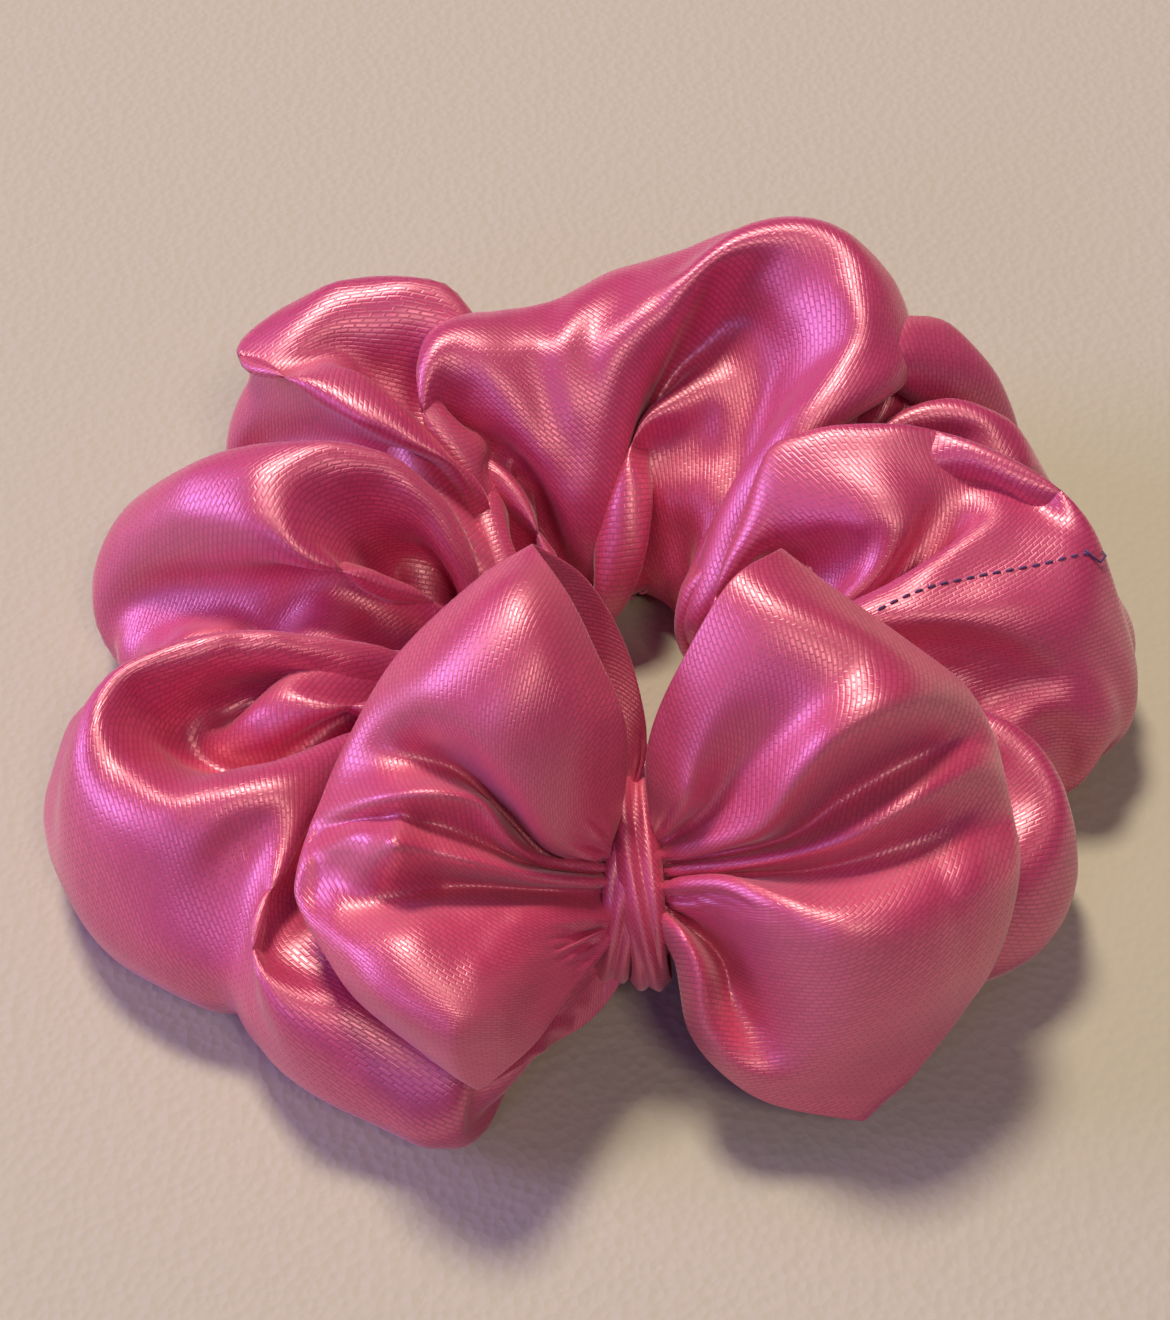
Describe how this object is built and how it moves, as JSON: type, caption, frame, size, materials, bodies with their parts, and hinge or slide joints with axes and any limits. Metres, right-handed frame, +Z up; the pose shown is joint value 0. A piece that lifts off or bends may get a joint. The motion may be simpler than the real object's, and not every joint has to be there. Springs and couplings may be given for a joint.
{
  "type": "satin scrunchie with bow",
  "caption": "Gathered satin scrunchie lying flat: a puffed sleeve round a ring of elastic, with a flat satin ribbon bow tied on at the front by a narrow strip.",
  "frame": {"origin": "on the table, under the centre of the bounding box of the scrunchie as it lies", "axes": "+Z up from the table through the hole; -Y towards the bow; +X to the right seen from the bow's side"},
  "size_m": [0.115, 0.114, 0.0427],
  "materials": {
    "satin_sleeve": "pink polyester satin, glossy with a fine diagonal weave",
    "satin_ribbon": "pink polyester satin, the same cloth as the sleeve",
    "elastic": "matt off-white braided elastic",
    "pink_thread": "pink polyester sewing thread",
    "purple_thread": "dark purple polyester sewing thread"
  },
  "bodies": {
    "front": {"cover_front": "satin_sleeve", "seam_thread_front": "pink_thread", "elastic_band": "elastic"},
    "back": {"cover_back": "satin_sleeve", "seam_thread_back": "pink_thread", "closing_thread": "purple_thread", "elastic_join_stitches": "pink_thread"},
    "bow": {"bow_waist": "satin_ribbon", "gather_thread": "pink_thread", "centre_wrap": "satin_ribbon", "wrap_stitches": "pink_thread"},
    "wing_left": {"bow_wing_left": "satin_ribbon"},
    "wing_right": {"bow_wing_right": "satin_ribbon"}
  },
  "joints": [
    {"name": "ring_stretch", "type": "slide", "parent": "front", "child": "back", "axis": [0, 1, 0], "range_m": [0, 0.045], "stiffness_N_per_m": 80, "deforming": ["elastic_band"]},
    {"name": "bow_swivel", "type": "hinge", "parent": "front", "child": "bow", "pos_m": [0.00298, -0.0354, 0.02143], "axis": [0, -0.6428, 0.766], "range_deg": [-6, 6], "stiffness_Nm_per_rad": 0.004},
    {"name": "left_wing_flex", "type": "hinge", "parent": "bow", "child": "wing_left", "pos_m": [-0.00082, -0.03662, 0.02288], "axis": [0, 0.766, 0.6428], "range_deg": [0, 35], "stiffness_Nm_per_rad": 0.001},
    {"name": "right_wing_flex", "type": "hinge", "parent": "bow", "child": "wing_right", "pos_m": [0.00677, -0.03662, 0.02288], "axis": [0, -0.766, -0.6428], "range_deg": [0, 35], "stiffness_Nm_per_rad": 0.001}
  ]
}
